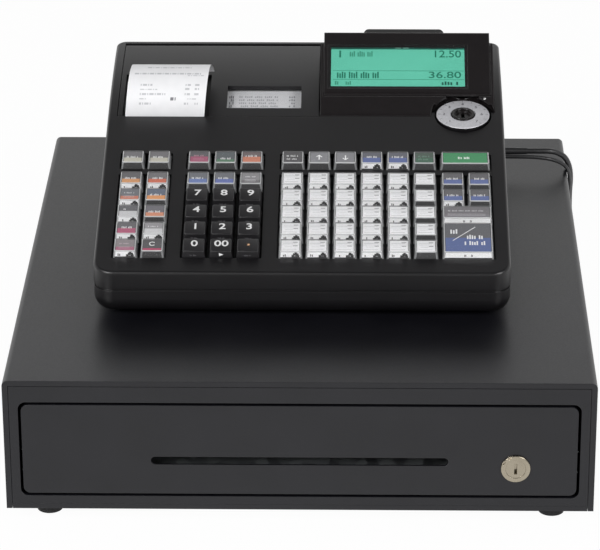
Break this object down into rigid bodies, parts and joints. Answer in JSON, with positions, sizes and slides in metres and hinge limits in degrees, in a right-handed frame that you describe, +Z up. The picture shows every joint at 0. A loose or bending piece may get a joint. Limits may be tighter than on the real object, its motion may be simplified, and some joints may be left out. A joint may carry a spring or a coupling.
{
  "type": "cash register with cash drawer",
  "caption": "Electronic cash register with raked keyboard, two-station printer, tilting display and mode switch, standing on a wide steel cash drawer with a till insert and lock.",
  "frame": {"origin": "On the floor under the middle of the drawer, with the rubber feet standing on the floor.", "axes": "X is the width with the lock on the positive side, Y runs from the drawer front at the negative side to the back, Z is up."},
  "size_m": [0.4228, 0.5445, 0.2358],
  "materials": {
    "drawer_steel": "fine-texture charcoal powder coat",
    "zinc_steel": "zinc plated",
    "nickel": "nickel plated",
    "nylon": "natural nylon",
    "till_plastic": "matt black moulding",
    "rubber": "matt rubber",
    "case_plastic": "fine-grain black moulding",
    "clear_plastic": "clear",
    "paper": "plain thermal paper",
    "lcd_glass": "lit green display",
    "silver_plastic": "satin silver",
    "board": "solder resist",
    "key_plastic": "moulded black",
    "cap_plastic": "clear cap over a printed label",
    "cord_rubber": "matt black PVC"
  },
  "bodies": {
    "casing": {"drawer_casing": "drawer_steel", "casing_base": "drawer_steel", "casing_bezel": "drawer_steel", "rubber_feet": "rubber", "drawer_runners": "zinc_steel", "solenoid": "zinc_steel", "eject_spring": "zinc_steel", "fixing_screws": "zinc_steel", "lower_case": "case_plastic", "upper_case": "case_plastic", "printer_frame": "zinc_steel", "journal_paper": "paper", "display_base": "case_plastic", "mode_ring": "silver_plastic", "key_guide_plate": "case_plastic", "main_board": "board", "cord_gland": "cord_rubber", "power_cord": "cord_rubber", "cord_coil": "cord_rubber", "power_plug": "cord_rubber", "drawer_lead": "cord_rubber"},
    "drawer": {"drawer_front": "drawer_steel", "drawer_box": "zinc_steel", "till_insert": "till_plastic", "clip_shaft": "zinc_steel", "lock_barrel": "nickel"},
    "note_clips": {"note_clips": "zinc_steel"},
    "lock_plug": {"lock_plug": "nickel"},
    "rear_rollers": {"rear_rollers": "nylon"},
    "front_rollers": {"front_rollers": "nylon"},
    "latch_lever": {"latch_lever": "zinc_steel"},
    "printer_cover": {"printer_cover": "case_plastic", "journal_window": "clear_plastic", "receipt_paper": "paper"},
    "receipt_roll": {"receipt_roll": "paper"},
    "receipt_platen": {"receipt_platen": "rubber"},
    "journal_roll": {"journal_roll": "paper"},
    "journal_platen": {"journal_platen": "rubber"},
    "display_head": {"display_head": "case_plastic", "display_window": "clear_plastic", "lcd_panel": "lcd_glass"},
    "customer_display": {"customer_display": "case_plastic"},
    "mode_rotor": {"mode_rotor": "nickel"},
    "key_subtotal": {"key_subtotal": "key_plastic"},
    "key_cash": {"key_cash": "key_plastic"},
    "key_7": {"key_7": "key_plastic"},
    "key_8": {"key_8": "key_plastic"},
    "key_9": {"key_9": "key_plastic"},
    "key_4": {"key_4": "key_plastic"},
    "key_5": {"key_5": "key_plastic"},
    "key_6": {"key_6": "key_plastic"},
    "key_1": {"key_1": "key_plastic"},
    "key_2": {"key_2": "key_plastic"},
    "key_3": {"key_3": "key_plastic"},
    "key_0": {"key_0": "key_plastic"},
    "key_00": {"key_00": "key_plastic"},
    "key_point": {"key_point": "key_plastic"},
    "department_keys": {"department_keys": "cap_plastic"},
    "function_keys": {"function_keys": "cap_plastic"},
    "service_keys": {"service_keys": "cap_plastic"}
  },
  "joints": [
    {"name": "drawer_slide", "type": "slide", "parent": "casing", "child": "drawer", "axis": [0, -1, 0], "range_m": [0, 0.3]},
    {"name": "note_clip_lift", "type": "hinge", "parent": "drawer", "child": "note_clips", "pos_m": [0, 0.1725, 0.0801], "axis": [-1, 0, 0], "range_deg": [0, 48]},
    {"name": "lock_turn", "type": "hinge", "parent": "drawer", "child": "lock_plug", "pos_m": [0.15, -0.225, 0.0454], "axis": [0, -1, 0], "range_deg": [0, 90]},
    {"name": "rear_roller_spin", "type": "hinge", "parent": "drawer", "child": "rear_rollers", "pos_m": [0, 0.17, 0.0401], "axis": [1, 0, 0], "continuous": true},
    {"name": "front_roller_spin", "type": "hinge", "parent": "casing", "child": "front_rollers", "pos_m": [0, -0.195, 0.0201], "axis": [1, 0, 0], "continuous": true},
    {"name": "latch_turn", "type": "hinge", "parent": "casing", "child": "latch_lever", "pos_m": [0, 0.212, 0.044], "axis": [-1, 0, 0], "range_deg": [0, 13]},
    {"name": "printer_cover_hinge", "type": "hinge", "parent": "casing", "child": "printer_cover", "pos_m": [0, 0.16, 0.20927], "axis": [-1, 0, 0], "range_deg": [0, 75]},
    {"name": "receipt_roll_spin", "type": "hinge", "parent": "casing", "child": "receipt_roll", "pos_m": [0, 0.128, 0.1643], "axis": [1, 0, 0], "continuous": true},
    {"name": "receipt_platen_spin", "type": "hinge", "parent": "casing", "child": "receipt_platen", "pos_m": [0, 0.066, 0.172], "axis": [1, 0, 0], "continuous": true},
    {"name": "journal_roll_spin", "type": "hinge", "parent": "casing", "child": "journal_roll", "pos_m": [0, 0.13, 0.172], "axis": [1, 0, 0], "continuous": true},
    {"name": "journal_platen_spin", "type": "hinge", "parent": "casing", "child": "journal_platen", "pos_m": [0, 0.066, 0.172], "axis": [1, 0, 0], "continuous": true},
    {"name": "display_tilt", "type": "hinge", "parent": "casing", "child": "display_head", "pos_m": [0, 0.07886, 0.20507], "axis": [1, 0, 0], "range_deg": [0, 25]},
    {"name": "customer_display_lift", "type": "slide", "parent": "casing", "child": "customer_display", "axis": [0, 0, 1], "range_m": [0, 0.04]},
    {"name": "mode_switch_turn", "type": "hinge", "parent": "casing", "child": "mode_rotor", "pos_m": [0.1185, 0.0577, 0.1971], "axis": [0, -0.1736, 0.9848], "range_deg": [-60, 120]},
    {"name": "key_subtotal_press", "type": "slide", "parent": "casing", "child": "key_subtotal", "axis": [0, 0.2639, -0.9646], "range_m": [0, 0.0035], "stiffness_N_per_m": 60},
    {"name": "key_cash_press", "type": "slide", "parent": "casing", "child": "key_cash", "axis": [0, 0.2639, -0.9646], "range_m": [0, 0.0035], "stiffness_N_per_m": 60},
    {"name": "key_7_press", "type": "slide", "parent": "casing", "child": "key_7", "axis": [0, 0.2639, -0.9646], "range_m": [0, 0.0035], "stiffness_N_per_m": 60},
    {"name": "key_8_press", "type": "slide", "parent": "casing", "child": "key_8", "axis": [0, 0.2639, -0.9646], "range_m": [0, 0.0035], "stiffness_N_per_m": 60},
    {"name": "key_9_press", "type": "slide", "parent": "casing", "child": "key_9", "axis": [0, 0.2639, -0.9646], "range_m": [0, 0.0035], "stiffness_N_per_m": 60},
    {"name": "key_4_press", "type": "slide", "parent": "casing", "child": "key_4", "axis": [0, 0.2639, -0.9646], "range_m": [0, 0.0035], "stiffness_N_per_m": 60},
    {"name": "key_5_press", "type": "slide", "parent": "casing", "child": "key_5", "axis": [0, 0.2639, -0.9646], "range_m": [0, 0.0035], "stiffness_N_per_m": 60},
    {"name": "key_6_press", "type": "slide", "parent": "casing", "child": "key_6", "axis": [0, 0.2639, -0.9646], "range_m": [0, 0.0035], "stiffness_N_per_m": 60},
    {"name": "key_1_press", "type": "slide", "parent": "casing", "child": "key_1", "axis": [0, 0.2639, -0.9646], "range_m": [0, 0.0035], "stiffness_N_per_m": 60},
    {"name": "key_2_press", "type": "slide", "parent": "casing", "child": "key_2", "axis": [0, 0.2639, -0.9646], "range_m": [0, 0.0035], "stiffness_N_per_m": 60},
    {"name": "key_3_press", "type": "slide", "parent": "casing", "child": "key_3", "axis": [0, 0.2639, -0.9646], "range_m": [0, 0.0035], "stiffness_N_per_m": 60},
    {"name": "key_0_press", "type": "slide", "parent": "casing", "child": "key_0", "axis": [0, 0.2639, -0.9646], "range_m": [0, 0.0035], "stiffness_N_per_m": 60},
    {"name": "key_00_press", "type": "slide", "parent": "casing", "child": "key_00", "axis": [0, 0.2639, -0.9646], "range_m": [0, 0.0035], "stiffness_N_per_m": 60},
    {"name": "key_point_press", "type": "slide", "parent": "casing", "child": "key_point", "axis": [0, 0.2639, -0.9646], "range_m": [0, 0.0035], "stiffness_N_per_m": 60},
    {"name": "department_keys_press", "type": "slide", "parent": "casing", "child": "department_keys", "axis": [0, 0.2639, -0.9646], "range_m": [0, 0.0035], "stiffness_N_per_m": 1800},
    {"name": "function_keys_press", "type": "slide", "parent": "casing", "child": "function_keys", "axis": [0, 0.2639, -0.9646], "range_m": [0, 0.0035], "stiffness_N_per_m": 1080},
    {"name": "service_keys_press", "type": "slide", "parent": "casing", "child": "service_keys", "axis": [0, 0.2639, -0.9646], "range_m": [0, 0.0035], "stiffness_N_per_m": 660}
  ],
  "couplings": [
    {"joint": "rear_roller_spin", "follows": "drawer_slide", "rad_per_m": 142.86},
    {"joint": "front_roller_spin", "follows": "drawer_slide", "rad_per_m": 166.67},
    {"joint": "receipt_platen_spin", "follows": "receipt_roll_spin", "ratio": 3.125},
    {"joint": "journal_platen_spin", "follows": "journal_roll_spin", "ratio": 3}
  ]
}
